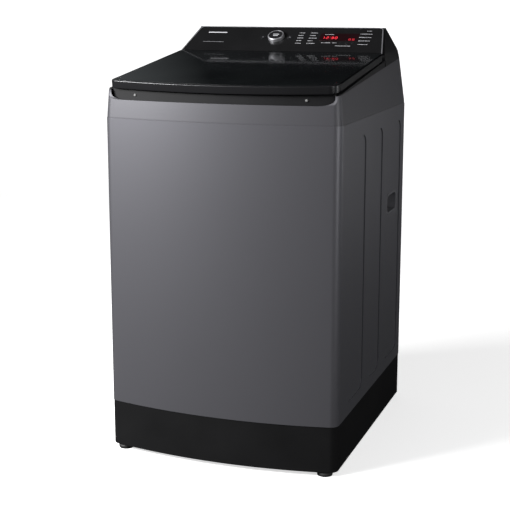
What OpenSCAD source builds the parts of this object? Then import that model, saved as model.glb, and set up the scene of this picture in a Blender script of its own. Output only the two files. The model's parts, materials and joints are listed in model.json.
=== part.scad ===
// Top load washing machine: bowed steel cabinet on a black base, a tinted
// glass lid that rises towards the back, and a sloping control panel.
// Millimetres, +Z up. The origin is on the floor under the middle of the
// body, and the front faces -Y.

/* [Body] */
// Width across the two side walls
body_w = 610; // [560:5:740]
// Depth from the front corners to the back edges of the side walls
side_d = 648; // [640:4:780]
// How far the middle of the front stands ahead of its corners
front_bow = 36; // [20:1:45]
// Radius of the two front corners
corner_r = 24; // [20:1:40]
// Floor to the lower edge of the base
base_z = 12; // [8:1:16]
// Floor to the seam between base and cabinet
seam_z = 130; // [120:2:160]
// Floor to the seam between cabinet and top cover
cabinet_z = 864; // [780:2:1040]
// Thickness of the steel sheet
sheet = 1.2; // [0.8:0.1:1.6]
// Wall of the plastic mouldings
plastic = 3; // [2.5:0.1:3.6]

/* [Side walls] */
// Depth of the pressed panels in the sides
emboss = 3; // [2:0.5:4]
// Width of the narrow middle pressed panel
mid_panel_w = 110; // [80:5:130]
// Rib left between two pressed panels
panel_gap = 61; // [45:1:70]
// Length of the carrying pocket
pocket_w = 107; // [95:1:120]
// Height of the carrying pocket
pocket_h = 54; // [46:1:60]
// Depth of the carrying pocket
pocket_depth = 24; // [18:1:30]
// Floor to the middle of the carrying pocket
pocket_z = 601; // [560:1:640]

/* [Top cover] */
// Set-back of the top cover from the cabinet
cover_step = 1; // [0.5:0.5:2]
// Lean of the cover's walls from the vertical
cover_draft = 4.8; // [3:0.1:6]
// Height of the cover's front edge over the cabinet seam
cover_front_h = 46; // [40:1:50]
// Height of the cover's side edge over the seam, at the front corner
cover_side_h = 68.5; // [66:0.5:70]
// Slope of the cover's side edge
cover_slope = 5.27; // [5:0.05:5.6]
// Lean of the back wall over the seam
back_lean = 14; // [12:0.5:16]

/* [Lid] */
// Set-back of the lid's side edges from the side walls
lid_inset = 15; // [12:1:18]
// Length of the lid along its slope
lid_len = 472; // [465:1:476]
// Slope of the lid, rising towards the back
lid_slope = 7.05; // [6.8:0.05:7.2]
// Overall thickness of the lid
lid_t = 20; // [18:0.5:21]
// Thickness of the glass
glass_t = 4; // [3:0.5:5]
// Radius of the lid's front corners
lid_corner_r = 22; // [16:1:26]
// Depth of the trim bar along the front of the lid
grip_d = 14; // [11:1:18]
// Height of the lid's back edge over the seam
lid_rear_h = 147; // [146:0.5:149]
// Radius of the hinge pins
pin_r = 3.5; // [3:0.1:4]

/* [Console] */
// Slope of the control panel
panel_tilt = 31.9; // [30:0.1:33]
// Length of the control panel up its slope
panel_len = 115; // [112:1:118]
// Thickness of the control panel
panel_t = 4; // [3:0.5:5]
// How much narrower the panel is at its top, each side
panel_taper = 20; // [16:1:24]
// Radius of the program dial
dial_r = 22.5; // [20:0.5:26]
// Height of the program dial over the panel
dial_h = 9; // [6:0.5:12]
// Radius of the power key and the start key
key_r = 8; // [6:0.5:9]
// Radius of the option keys
option_r = 4.5; // [3.5:0.5:5]
// Width of the display window
display_w = 108; // [90:2:116]
// Height of the display window
display_h = 36; // [28:1:38]

/* [Tub and drum] */
// Room for the tub to swing beside the side walls
swing_gap = 28.8; // [24:0.2:40]
// Radial gap between tub and drum
tub_gap = 19; // [16:1:24]
// Radius of the loading mouth
mouth_r = 180; // [150:2:186]
// Radius of the opening inside the balance ring
ring_inner_r = 206; // [196:1:214]
// Radius of the pulsator
pulsator_r = 172; // [140:2:180]
// Floor to the underside of the tub
tub_z = 190; // [186:1:210]

/* [Drive] */
// Radius of the wash shaft
wash_shaft_r = 8; // [7:0.5:9]
// Radius of the spin tube
spin_tube_r = 16; // [14:0.5:18]
// Radius of the bearings
bearing_r = 31; // [28:1:36]
// Radius of the stator's tooth tips
stator_r = 103; // [95:1:112]

/* [Suspension] */
// Radius of the suspension rods
rod_r = 4; // [3.5:0.5:5]
// Distance from the tub's wall to the rods
rod_gap = 33; // [30:1:38]
// Mean radius of the springs
spring_r = 14; // [12:0.5:15]
// Length of the springs under the tub's weight
spring_len = 72; // [64:1:78]

/* [Feet and ports] */
// Radius of the levelling feet
foot_r = 19.5; // [16:0.5:22]
// Radius of the feet's threaded studs
stud_r = 5; // [4:0.5:6]
// Radius of the water inlets' threads
inlet_r = 13.2; // [12.5:0.1:14]
// Outer radius of the drain spigot
spigot_r = 16; // [13:0.5:18]
// Radius of the cord gland's bore
cord_bore_r = 4.2; // [3.5:0.1:5]

/* [Hidden] */

// Colours
body_grey = [0.30, 0.30, 0.32];
black = [0.06, 0.06, 0.065];
glass_black = [0.03, 0.035, 0.04];
silver = [0.72, 0.72, 0.74];
steel = [0.62, 0.63, 0.65];
zinc = [0.55, 0.56, 0.57];
rubber = [0.09, 0.09, 0.09];
white_plastic = [0.86, 0.87, 0.87];
grey_plastic = [0.45, 0.46, 0.48];
board_green = [0.08, 0.28, 0.16];
copper = [0.66, 0.36, 0.18];

// Smooth circles
round_fn = 96;
tiny = 0.01;

// Outline of the body in plan: a bowed front with round corners
half_w = body_w / 2;
lid_hw = half_w - lid_inset;
depth = side_d + front_bow;
front_y = -depth / 2;
rear_y = depth / 2;
corner_y = front_y + front_bow;
bow_r = (half_w * half_w + front_bow * front_bow) / (2 * front_bow);
rear_corner_r = 0.8;
bow_steps = 20;
corner_steps = 6;
rear_steps = 2;

function outline(hw, y0, y1, r_bow, r_front, r_rear) =
    let (
        cy = y0 + r_bow,
        xf = hw - r_front,
        yf = cy - sqrt(pow(r_bow - r_front, 2) - xf * xf),
        at = asin(xf / (r_bow - r_front))
    )
    concat(
        [for (i = [0:bow_steps]) let (a = at * (2 * i / bow_steps - 1))
            [r_bow * sin(a), cy - r_bow * cos(a)]],
        [for (i = [1:corner_steps]) let (a = at - 90 + (90 - at) * i / corner_steps)
            [xf + r_front * cos(a), yf + r_front * sin(a)]],
        [for (i = [0:rear_steps]) let (a = 90 * i / rear_steps)
            [hw - r_rear + r_rear * cos(a), y1 - r_rear + r_rear * sin(a)]],
        [for (i = [0:rear_steps]) let (a = 90 + 90 * i / rear_steps)
            [-hw + r_rear + r_rear * cos(a), y1 - r_rear + r_rear * sin(a)]],
        [for (i = [0:corner_steps - 1]) let (a = 180 + (90 - at) * i / corner_steps)
            [-xf + r_front * cos(a), yf + r_front * sin(a)]]
    );

// The body's outline moved inwards by d
function plan(d) = outline(half_w - d, front_y + d, rear_y - d, bow_r - d,
    max(corner_r - d, 4), max(rear_corner_r - d, 0.8));

// A closed rounded rectangle about the origin
function round_rect(w, h, r, steps = 5) =
    [for (q = [0:3], i = [0:steps]) let (
        a = 90 * q + 90 * i / steps,
        sx = (q == 0 || q == 3) ? 1 : -1,
        sy = (q < 2) ? 1 : -1
    ) [sx * (w / 2 - r) + r * cos(a), sy * (h / 2 - r) + r * sin(a)]];

module slab(d, z0, z1) {
    translate([0, 0, z0]) linear_extrude(z1 - z0) polygon(plan(d));
}

module plan_ring(d0, d1, z0, z1) {
    translate([0, 0, z0]) linear_extrude(z1 - z0) difference() {
        polygon(plan(d0));
        polygon(plan(d1));
    }
}

// A body that leans inwards: the outline at d0 below and at d1 above
module leaning(d0, z0, d1, z1) {
    low = plan(d0);
    high = plan(d1);
    n = len(low);
    polyhedron(
        points = concat([for (p = low) [p[0], p[1], z0]], [for (p = high) [p[0], p[1], z1]]),
        faces = concat(
            [[for (i = [0:n - 1]) i]],
            [[for (i = [0:n - 1]) 2 * n - 1 - i]],
            [for (i = [0:n - 1]) [i, i + n, (i + 1) % n + n, (i + 1) % n]]
        )
    );
}

// Solid between x0 and x1 whose section is the given list of [y, z]
module profile_x(points, x0, x1) {
    translate([x0, 0, 0]) rotate([90, 0, 90]) linear_extrude(x1 - x0) polygon(points);
}

// Solid between y0 and y1 whose section is the given list of [x, z]
module profile_y(points, y0, y1) {
    translate([0, y1, 0]) rotate([90, 0, 0]) linear_extrude(y1 - y0) polygon(points);
}

module box(x0, x1, y0, y1, z0, z1) {
    translate([x0, y0, z0]) cube([x1 - x0, y1 - y0, z1 - z0]);
}

module disc(x, y, z0, z1, r) {
    translate([x, y, z0]) cylinder(r = r, h = z1 - z0, $fn = round_fn);
}

module both_sides() {
    children();
    mirror([1, 0, 0]) children();
}

// Rounded plate in a side wall, from x0 to x1, centred at y and z
module side_plate(w, h, r, y, z, x0, x1) {
    translate([x0, y, z]) rotate([90, 0, 90]) linear_extrude(x1 - x0)
        polygon(round_rect(w, h, r));
}

// ---- Cabinet ----

panel_front_margin = 85;
panel_rear_margin = 40;
panel_foot_margin = 32;
panel_head_margin = 42;
panel_corner_r = 26;
panel_span = side_d - panel_front_margin - panel_rear_margin;
wide_panel_w = (panel_span - mid_panel_w - 2 * panel_gap) / 2;
panel_y0 = corner_y + panel_front_margin;
panel_ws = [wide_panel_w, mid_panel_w, wide_panel_w];
panel_ys = [
    panel_y0 + wide_panel_w / 2,
    panel_y0 + wide_panel_w + panel_gap + mid_panel_w / 2,
    rear_y - panel_rear_margin - wide_panel_w / 2
];
panel_z0 = seam_z + panel_foot_margin;
panel_z1 = cabinet_z - panel_head_margin;
pocket_y = rear_y - 126;
pocket_r = 20;
flange_w = 26;
rear_set = 3.6;
rear_face_y = rear_y - rear_set;
flange_y = rear_face_y - 2 * sheet;

module side_panels(grow, x0, x1) {
    for (i = [0:2])
        side_plate(panel_ws[i] + 2 * grow, panel_z1 - panel_z0 + 2 * grow,
            panel_corner_r + grow, panel_ys[i], (panel_z0 + panel_z1) / 2, x0, x1);
}

module cabinet_wrap() {
    color(body_grey) difference() {
        union() {
            difference() {
                plan_ring(0, sheet, seam_z, cabinet_z);
                box(-half_w + sheet, half_w - sheet, rear_y - 12, rear_y + 1,
                    seam_z - 1, cabinet_z + 1);
            }
            both_sides() side_panels(sheet, half_w - emboss - sheet, half_w - sheet / 2);
            both_sides() box(half_w - sheet - flange_w, half_w - sheet / 2,
                flange_y, flange_y + sheet, seam_z, cabinet_z);
        }
        both_sides() side_panels(0, half_w - emboss, half_w + 1);
        both_sides() side_plate(pocket_w, pocket_h, pocket_r, pocket_y, pocket_z,
            half_w - emboss - 5, half_w + 1);
        screw_row() screw_hole();
    }
}

// A cup set into each side wall to carry the machine by
pocket_wall = 2;
pocket_gap = 0.3;
module handle_pockets() {
    skin_x = half_w - emboss;
    color(body_grey) both_sides() difference() {
        union() {
            side_plate(pocket_w - 2 * pocket_gap, pocket_h - 2 * pocket_gap,
                pocket_r - pocket_gap, pocket_y, pocket_z, skin_x - pocket_depth, skin_x + 1);
            side_plate(pocket_w + 8, pocket_h + 8, pocket_r + 4, pocket_y, pocket_z,
                skin_x, skin_x + 1.6);
        }
        side_plate(pocket_w - 8, pocket_h - 8, pocket_r - 4, pocket_y, pocket_z,
            skin_x - pocket_depth + pocket_wall, skin_x + 5);
    }
}

// Screws along the two rear flanges and along the rear panel's top
screw_r = 2;
screw_head_r = 4.6;
screw_head_h = 2.4;
screw_len = 9;
screw_x = half_w - sheet - flange_w / 2;
screw_rows = 5;
module screw_row() {
    for (i = [0:screw_rows - 1], s = [-1, 1])
        translate([s * screw_x, rear_face_y,
            seam_z + 40 + i * (cabinet_z - seam_z - 80) / (screw_rows - 1)]) children();
}

module screw_hole() {
    rotate([90, 0, 0]) translate([0, 0, -1])
        cylinder(r = screw_r + 0.05, h = screw_len + 3, $fn = 24);
}

module screw() {
    rotate([90, 0, 0]) cylinder(r = screw_r, h = screw_len, $fn = 24);
    difference() {
        rotate([-90, 0, 0]) cylinder(r = screw_head_r, h = screw_head_h, $fn = 32);
        translate([0, screw_head_h, 0]) cube([5, 2, 1.1], center = true);
        translate([0, screw_head_h, 0]) cube([1.1, 2, 5], center = true);
    }
}

module case_screws() {
    color(zinc) screw_row() screw();
}

// Places of the drain cup, the cord gland and the service embossing
spigot_x = -190;
spigot_z = seam_z + 64;
spigot_cup_r = 34;
gland_x = -half_w + 75;
gland_z = cabinet_z - 40;
gland_r = 9;

module rear_panel() {
    color(zinc) difference() {
        union() {
            box(-half_w + sheet + 0.4, half_w - sheet - 0.4, rear_face_y - sheet,
                rear_face_y, seam_z + 1, cabinet_z - 1);
            service_panel(sheet, rear_face_y - sheet - emboss, rear_face_y - sheet / 2);
        }
        service_panel(0, rear_face_y - emboss, rear_face_y + 1);
        screw_row() screw_hole();
        translate([spigot_x, rear_y, spigot_z]) rotate([90, 0, 0])
            cylinder(r = spigot_cup_r + 0.2, h = 12, $fn = round_fn);
        translate([gland_x, rear_y, gland_z]) rotate([90, 0, 0])
            cylinder(r = gland_r + 0.05, h = 12, $fn = round_fn);
        rear_slots();
    }
}

// The pressed middle of the rear panel
module service_panel(grow, y0, y1) {
    w = body_w - 230;
    h = cabinet_z - seam_z - 300;
    translate([0, y1, (seam_z + cabinet_z) / 2 + 60]) rotate([90, 0, 0])
        linear_extrude(y1 - y0) polygon(round_rect(w + 2 * grow, h + 2 * grow, 30 + grow));
}

// Cooling slots low in the rear panel
module rear_slots() {
    for (i = [0:7])
        translate([60 + i * 20, rear_y, seam_z + 60]) rotate([90, 0, 0])
            linear_extrude(12) polygon(round_rect(7, 60, 3.4, 3));
}

// ---- Base ----

skirt_in = 1;
web_size = 84;
web_h = 6;
foot_front_y = corner_y + 14;
foot_rear_y = rear_y - 42;
foot_x = half_w - 34;
foot_places = [[-foot_x, foot_front_y], [foot_x, foot_front_y],
    [-foot_x, foot_rear_y], [foot_x, foot_rear_y]];
boss_r = 13;
boss_h = 26;

module base_skirt() {
    color(black) difference() {
        union() {
            plan_ring(skirt_in, skirt_in + plastic, base_z, seam_z);
            intersection() {
                plan_ring(sheet + 0.3, sheet + 0.3 + plastic, seam_z - 12, seam_z + 12);
                box(-half_w, half_w, front_y, flange_y - 0.4, seam_z - 13, seam_z + 13);
            }
            for (p = foot_places) {
                intersection() {
                    slab(skirt_in + 1, base_z + 2, base_z + 2 + web_h);
                    translate([p[0], p[1], base_z]) cube([web_size, web_size, 40], center = true);
                }
                disc(p[0], p[1], base_z + 2, base_z + 2 + boss_h, boss_r);
            }
        }
        for (p = foot_places) disc(p[0], p[1], -1, 90, stud_r + 0.05);
    }
}

guard_z = base_z + 10;
guard_t = 2.5;
module bottom_guard() {
    color(grey_plastic) difference() {
        slab(skirt_in + plastic + 0.5, guard_z, guard_z + guard_t);
        for (p = foot_places)
            translate([p[0], p[1], guard_z])
                cube([web_size + 4, web_size + 4, 20], center = true);
        for (i = [-4:4], s = [-1, 1])
            translate([i * 42, s * 150, guard_z - 1]) linear_extrude(6)
                polygon(round_rect(9, 150, 4.4, 3));
    }
}

// Levelling foot: a rubber sole under a threaded stud
sole_h = 10;
stud_top = base_z + boss_h + 16;
module foot(p) {
    color(rubber) {
        translate([p[0], p[1], 0]) rotate_extrude($fn = round_fn) polygon([
            [0, 0], [foot_r - 1, 0], [foot_r, 1.2], [foot_r, sole_h - 3], [foot_r - 2.5, sole_h],
            [stud_r, sole_h], [stud_r, stud_top - 1], [stud_r - 1, stud_top], [0, stud_top]
        ]);
    }
}

// ---- Tub layout ----

tub_wall = 3;
rear_room = 78;
tub_r = min(half_w - emboss, (depth - rear_room) / 2) - sheet - swing_gap;
tub_y = front_y + sheet + swing_gap + tub_r;
tub_inner_r = tub_r - tub_wall;
tub_top_z = cabinet_z - 64;
basket_r = tub_inner_r - tub_gap;
basket_wall = 1.2;
tub_floor = 4;
basket_z = tub_z + 16;
basket_floor = 3;
ring_h = 32;
ring_top_z = tub_top_z - 8;
basket_top_z = ring_top_z - ring_h;
seal_bore_r = bearing_r + 0.5;

rod_angle = 40;
rod_radius = tub_r + rod_gap;
rod_places = [for (sx = [-1, 1], sy = [-1, 1])
    [sx * rod_radius * cos(rod_angle), tub_y + sy * rod_radius * sin(rod_angle)]];
ear_z = tub_z + 110;
ear_t = 8;
cup_h = 10;
spring_z0 = ear_z - cup_h - spring_len;
wire_r = 2.2;

module around_tub() {
    translate([0, tub_y, 0]) children();
}

// ---- Suspension ----

gusset_z = tub_top_z - 6;
gusset_t = 3;
module corner_gussets() {
    color(zinc) for (p = rod_places) {
        sx = sign(p[0]);
        sy = sign(p[1] - tub_y);
        translate([0, 0, gusset_z]) linear_extrude(gusset_t) difference() {
            intersection() {
                polygon(plan(sheet + emboss + 0.4));
                translate([sx > 0 ? p[0] - 30 : p[0] - 200, sy > 0 ? p[1] - 30 : p[1] - 200])
                    square([230, sy > 0 ? flange_y - p[1] + 29 : 230]);
            }
            translate([0, tub_y]) circle(r = tub_r + 12, $fn = round_fn);
            translate(p) circle(r = rod_r + 0.5, $fn = 32);
        }
    }
}

// Rods hang from the gussets and carry a spring on their lower end
seat_h = 4;
module suspension_rods() {
    color(steel) for (p = rod_places) translate([p[0], p[1], 0]) {
        rotate_extrude($fn = 48) polygon([
            [0, spring_z0 - seat_h - 8], [7, spring_z0 - seat_h - 8], [7, spring_z0 - seat_h],
            [18, spring_z0 - seat_h], [18, spring_z0], [rod_r, spring_z0],
            [rod_r, gusset_z + gusset_t], [10, gusset_z + gusset_t], [10, gusset_z + gusset_t + 5],
            [6, gusset_z + gusset_t + 9], [0, gusset_z + gusset_t + 9]
        ]);
    }
}

// Coil springs: a round wire swept along a helix
spring_turns = 6;
turn_steps = 12;
wire_sides = 6;
module coil(turns, r, wire, height) {
    n = turns * turn_steps;
    ring = [for (k = [0:wire_sides - 1]) 360 * k / wire_sides];
    pts = [for (i = [0:n]) let (a = 360 * i / turn_steps, z = height * i / n)
        for (b = ring) [(r + wire * cos(b)) * cos(a), (r + wire * cos(b)) * sin(a),
            z + wire * sin(b)]];
    polyhedron(points = pts, faces = concat(
        [[for (k = [0:wire_sides - 1]) k]],
        [[for (k = [0:wire_sides - 1]) n * wire_sides + wire_sides - 1 - k]],
        [for (i = [0:n - 1], k = [0:wire_sides - 1]) let (k2 = (k + 1) % wire_sides)
            [i * wire_sides + k, (i + 1) * wire_sides + k,
             (i + 1) * wire_sides + k2, i * wire_sides + k2]]));
}

module suspension_springs() {
    color(steel) for (p = rod_places)
        translate([p[0], p[1], spring_z0 + wire_r + 0.1])
            coil(spring_turns, spring_r, wire_r, spring_len - 2 * wire_r - 0.2);
}

module spring_cups() {
    color(white_plastic) for (p = rod_places) translate([p[0], p[1], 0])
        rotate_extrude($fn = 48) polygon([
            [rod_r + 1, ear_z - cup_h], [20, ear_z - cup_h], [20, ear_z - 0.05], [rod_r + 1, ear_z - 0.05]
        ]);
}

// ---- Outer tub ----

drain_port_a = 140;
drain_port_r = 16;
module outer_tub() {
    color(white_plastic) difference() {
        union() {
            around_tub() rotate_extrude($fn = 180) polygon([
                [seal_bore_r, tub_z], [tub_r - 10, tub_z], [tub_r, tub_z + 10], [tub_r, tub_top_z],
                [tub_inner_r, tub_top_z], [tub_inner_r, tub_z + 10 + tub_floor / 2],
                [tub_r - 12, tub_z + tub_floor], [seal_bore_r, tub_z + tub_floor]
            ]);
            for (p = rod_places) tub_ear(p);
            around_tub() for (z = [0.35, 0.62, 0.88])
                rotate_extrude($fn = 180)
                    translate([tub_r - 1, tub_z + z * (tub_top_z - tub_z)]) square([4, 5]);
            around_tub() rotate([0, 0, drain_port_a])
                disc(tub_r - 70, 0, tub_z - 24, tub_z + 2, drain_port_r + 3);
        }
        for (p = rod_places) disc(p[0], p[1], ear_z - 20, ear_z + 60, rod_r + 4);
        around_tub() rotate([0, 0, drain_port_a])
            disc(tub_r - 70, 0, tub_z - 30, tub_z + 10, drain_port_r);
    }
}

// An ear on the tub, pierced by a suspension rod and stiffened by two ribs
ear_w = 46;
rib_rise = 48;
module tub_ear(p) {
    a = atan2(p[1] - tub_y, p[0]);
    around_tub() rotate([0, 0, a]) {
        translate([tub_r - 1.5, -ear_w / 2, ear_z]) cube([rod_gap + 1.5, ear_w, ear_t]);
        disc(rod_radius, 0, ear_z, ear_z + ear_t, ear_w / 2);
        for (s = [-1, 1])
            translate([0, s * (ear_w / 2 - 3) + 2.5, 0]) rotate([90, 0, 0]) linear_extrude(5)
                polygon([[tub_r - 1.5, ear_z + 1], [rod_radius, ear_z + 1],
                    [rod_radius, ear_z + ear_t + 2], [tub_r - 1.5, ear_z + ear_t + rib_rise]]);
    }
}

cover_inner_r = ring_inner_r + 10;
module tub_cover() {
    color(white_plastic) around_tub() rotate_extrude($fn = 180) polygon([
        [tub_r + 3, tub_top_z - 14], [tub_r + 3, tub_top_z + 4], [tub_r - 4, tub_top_z + 14],
        [cover_inner_r + 8, tub_top_z + 18], [cover_inner_r, tub_top_z + 14],
        [cover_inner_r, tub_top_z + 4], [cover_inner_r + 3, tub_top_z + 4],
        [cover_inner_r + 4, tub_top_z + 12], [tub_r - 8, tub_top_z + 9],
        [tub_inner_r, tub_top_z], [tub_r, tub_top_z], [tub_r, tub_top_z - 14]
    ]);
}

// ---- Drive under the tub ----

housing_r = 45;
housing_flange_r = 112;
housing_z = tub_z - 72;
bearing_h = 16;
bearing_gap = 0.05;
module drive_housing() {
    color(steel) around_tub() rotate_extrude($fn = round_fn) polygon([
        [bearing_r, housing_z], [housing_r, housing_z], [housing_r, tub_z - 16],
        [housing_flange_r, tub_z - 8], [housing_flange_r, tub_z], [bearing_r, tub_z],
        [bearing_r, tub_z - 10 - bearing_h], [bearing_r - 5, tub_z - 10 - bearing_h],
        [bearing_r - 5, housing_z + bearing_h], [bearing_r, housing_z + bearing_h]
    ]);
}

module bearings() {
    color(steel) around_tub() for (z = [housing_z, tub_z - 10 - bearing_h])
        translate([0, 0, z]) rotate_extrude($fn = round_fn) polygon([
            [spin_tube_r + bearing_gap, 0.4], [spin_tube_r + 4, 0.4], [spin_tube_r + 5, 1.5],
            [bearing_r - 5, 1.5], [bearing_r - 4, 0.4], [bearing_r, 0.4],
            [bearing_r, bearing_h], [bearing_r - 4, bearing_h], [bearing_r - 5, bearing_h - 1],
            [spin_tube_r + 5, bearing_h - 1], [spin_tube_r + 4, bearing_h],
            [spin_tube_r + bearing_gap, bearing_h]
        ]);
}

module shaft_seal() {
    color(rubber) around_tub() rotate_extrude($fn = round_fn) polygon([
        [spin_tube_r + bearing_gap, tub_z - 9], [bearing_r, tub_z - 9], [bearing_r, tub_z + 3],
        [spin_tube_r + 8, tub_z + 3], [spin_tube_r + 3, tub_z + 5], [spin_tube_r + bearing_gap, tub_z + 5]
    ]);
}

core_r = 80;
core_z = housing_z - 32;
core_h = 22;
teeth = 18;
module stator() {
    color(copper) around_tub() {
        rotate_extrude($fn = round_fn) polygon([
            [38, housing_z - 6], [62, housing_z - 6], [62, core_z], [core_r, core_z],
            [core_r, core_z + core_h], [74, housing_z], [38, housing_z]
        ]);
        intersection() {
            disc(0, 0, core_z, core_z + core_h, stator_r);
            for (i = [0:teeth - 1]) rotate([0, 0, i * 360 / teeth]) {
                translate([core_r - 2, -6, core_z + 2]) cube([stator_r - core_r - 2, 12, core_h - 4]);
                translate([stator_r - 6, -12, core_z + 1]) cube([8, 24, core_h - 2]);
            }
        }
    }
}

rotor_z = tub_z - 124;
rotor_r = stator_r + 15;
rotor_hub_r = 22;
rotor_hub_h = 18;
module rotor() {
    color(grey_plastic) around_tub() difference() {
        rotate_extrude($fn = round_fn) polygon([
            [wash_shaft_r, rotor_z], [rotor_hub_r, rotor_z], [rotor_r - 6, rotor_z],
            [rotor_r, rotor_z + 6], [rotor_r, core_z + core_h + 3], [rotor_r - 10, core_z + core_h + 3],
            [rotor_r - 10, core_z - 4], [rotor_r - 6, core_z - 8], [rotor_r - 6, rotor_z + 8],
            [rotor_r - 8, rotor_z + 5], [rotor_hub_r, rotor_z + 5], [rotor_hub_r, rotor_z + rotor_hub_h],
            [wash_shaft_r, rotor_z + rotor_hub_h]
        ]);
        for (i = [0:7]) rotate([0, 0, i * 45]) disc(62, 0, rotor_z - 1, rotor_z + 10, 14);
    }
}

shaft_top_z = basket_z + 34;
shaft_relief = 2.5;
screw_bore_r = 3;
module wash_shaft() {
    color(steel) around_tub() difference() {
        rotate_extrude($fn = round_fn) polygon([
            [0, rotor_z - 6], [wash_shaft_r - 1, rotor_z - 6], [wash_shaft_r, rotor_z - 5],
            [wash_shaft_r, shaft_top_z], [0, shaft_top_z]
        ]);
        disc(0, 0, shaft_top_z - 20, shaft_top_z + 1, screw_bore_r);
    }
}

tube_low_z = rotor_z + rotor_hub_h + 6;
tube_top_z = basket_z + 5;
bush_h = 20;
module spin_tube() {
    color(steel) around_tub() rotate_extrude($fn = round_fn) polygon([
        [wash_shaft_r + bearing_gap, tube_low_z], [spin_tube_r, tube_low_z], [spin_tube_r, tube_top_z],
        [wash_shaft_r + bearing_gap, tube_top_z], [wash_shaft_r + bearing_gap, tube_top_z - bush_h],
        [wash_shaft_r + shaft_relief, tube_top_z - bush_h - 2],
        [wash_shaft_r + shaft_relief, tube_low_z + bush_h + 2],
        [wash_shaft_r + bearing_gap, tube_low_z + bush_h]
    ]);
}

clutch_z = tube_low_z + 2;
module clutch_coupler() {
    color(grey_plastic) around_tub() difference() {
        rotate_extrude($fn = round_fn) polygon([
            [spin_tube_r + 0.4, clutch_z], [spin_tube_r + 10, clutch_z],
            [spin_tube_r + 10, clutch_z + 5], [spin_tube_r + 15, clutch_z + 5],
            [spin_tube_r + 15, clutch_z + 8], [spin_tube_r + 10, clutch_z + 8],
            [spin_tube_r + 10, clutch_z + 13], [spin_tube_r + 0.4, clutch_z + 13]
        ]);
        for (i = [0:11]) rotate([0, 0, i * 30])
            translate([spin_tube_r + 5, -1.2, clutch_z - 1]) cube([8, 2.4, 3.5]);
    }
}

// ---- Drum ----

hub_r = 150;
module basket_hub() {
    color(steel) around_tub() difference() {
        rotate_extrude($fn = round_fn) polygon([
            [spin_tube_r, tub_z + 6.5], [spin_tube_r + 16, tub_z + 6.5],
            [spin_tube_r + 20, basket_z - 6], [hub_r, basket_z - 6], [hub_r, basket_z],
            [spin_tube_r, basket_z]
        ]);
        for (i = [0:2]) rotate([0, 0, 60 + i * 120]) disc(92, 0, basket_z - 10, basket_z + 1, 36);
    }
}

module basket() {
    color(steel) around_tub() difference() {
        rotate_extrude($fn = 180) polygon([
            [spin_tube_r + 6, basket_z], [basket_r - 12, basket_z], [basket_r, basket_z + 12],
            [basket_r, basket_top_z], [basket_r - basket_wall, basket_top_z],
            [basket_r - basket_wall, basket_z + 13], [basket_r - 13, basket_z + basket_floor],
            [spin_tube_r + 6, basket_z + basket_floor]
        ]);
        for (a = [0:30:330], z = [0.2, 0.45, 0.7])
            rotate([0, 0, a]) translate([basket_r - 5, 0, basket_z + z * (basket_top_z - basket_z)])
                rotate([0, 90, 0]) cylinder(r = 3, h = 10, $fn = 24);
    }
}

module balance_ring() {
    color(grey_plastic) around_tub() rotate_extrude($fn = 180) polygon([
        [basket_r + 2, basket_top_z], [basket_r + 2, ring_top_z - 5], [basket_r - 3, ring_top_z],
        [ring_inner_r + 10, ring_top_z], [ring_inner_r, ring_top_z - 10],
        [ring_inner_r, basket_top_z - 8], [ring_inner_r + 6, basket_top_z - 16],
        [basket_r - basket_wall - 0.4, basket_top_z - 16], [basket_r - basket_wall - 0.4, basket_top_z]
    ]);
}

filter_w = 76;
filter_h = 150;
filter_d = 16;
filter_z = basket_top_z - 240;
module lint_filter() {
    color(white_plastic) around_tub() difference() {
        intersection() {
            disc(0, 0, filter_z, filter_z + filter_h, basket_r - basket_wall - 0.8);
            box(basket_r - filter_d - 6, basket_r + 4, -filter_w / 2, filter_w / 2,
                filter_z, filter_z + filter_h);
        }
        for (i = [0:3])
            box(basket_r - filter_d - 10, basket_r - filter_d - 3, -filter_w / 2 + 9,
                filter_w / 2 - 9, filter_z + 14 + i * 33, filter_z + 36 + i * 33);
    }
}

// Pulsator: a shallow dome with blades, turned by the wash shaft
pulsator_z = basket_z + basket_floor + 4;
dome_h = 44;
dome_wall = 4;
blade_count = 6;
blade_w = 16;
function dome_z(r) = pulsator_z + 8 + (dome_h - 8) * pow(cos(90 * r / pulsator_r), 1.6);
function blade_z(r) = dome_z(r) + 20 * sin(180 * min(1, max(0, (r - 26) / (pulsator_r - 34))));
dome_steps = 14;
module pulsator() {
    radii = [for (i = [0:dome_steps]) pulsator_r * i / dome_steps];
    color(grey_plastic) around_tub() difference() {
        union() {
            rotate_extrude($fn = round_fn) polygon(concat(
                [for (r = radii) [r, dome_z(r)]],
                [[pulsator_r, pulsator_z], [pulsator_r - dome_wall, pulsator_z]],
                [for (i = [dome_steps:-1:0]) let (r = min(radii[i], pulsator_r - dome_wall))
                    [r, dome_z(r) - dome_wall]]
            ));
            intersection() {
                rotate_extrude($fn = round_fn) polygon(concat(
                    [for (i = [2:dome_steps]) [radii[i] - 2, blade_z(radii[i])]],
                    [for (i = [dome_steps:-1:2]) [radii[i] - 2, dome_z(radii[i]) - 2]]
                ));
                for (i = [0:blade_count - 1]) rotate([0, 0, i * 360 / blade_count])
                    translate([20, -blade_w / 2, pulsator_z]) cube([pulsator_r, blade_w, 90]);
            }
            disc(0, 0, pulsator_z + 6, dome_z(18) - 2, 20);
        }
        disc(0, 0, pulsator_z, shaft_top_z, wash_shaft_r);
        disc(0, 0, pulsator_z, pulsator_z + 90, screw_bore_r + 0.3);
        disc(0, 0, dome_z(0) - 5, dome_z(0) + 5, 9);
    }
}

module pulsator_screw() {
    color(steel) around_tub() difference() {
        rotate_extrude($fn = 48) polygon([
            [0, shaft_top_z - 16], [screw_bore_r, shaft_top_z - 15], [screw_bore_r, dome_z(0) - 5],
            [8, dome_z(0) - 5], [8, dome_z(0) - 1], [6, dome_z(0)], [0, dome_z(0)]
        ]);
        translate([0, 0, dome_z(0)]) cube([10, 1.6, 3], center = true);
    }
}

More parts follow.
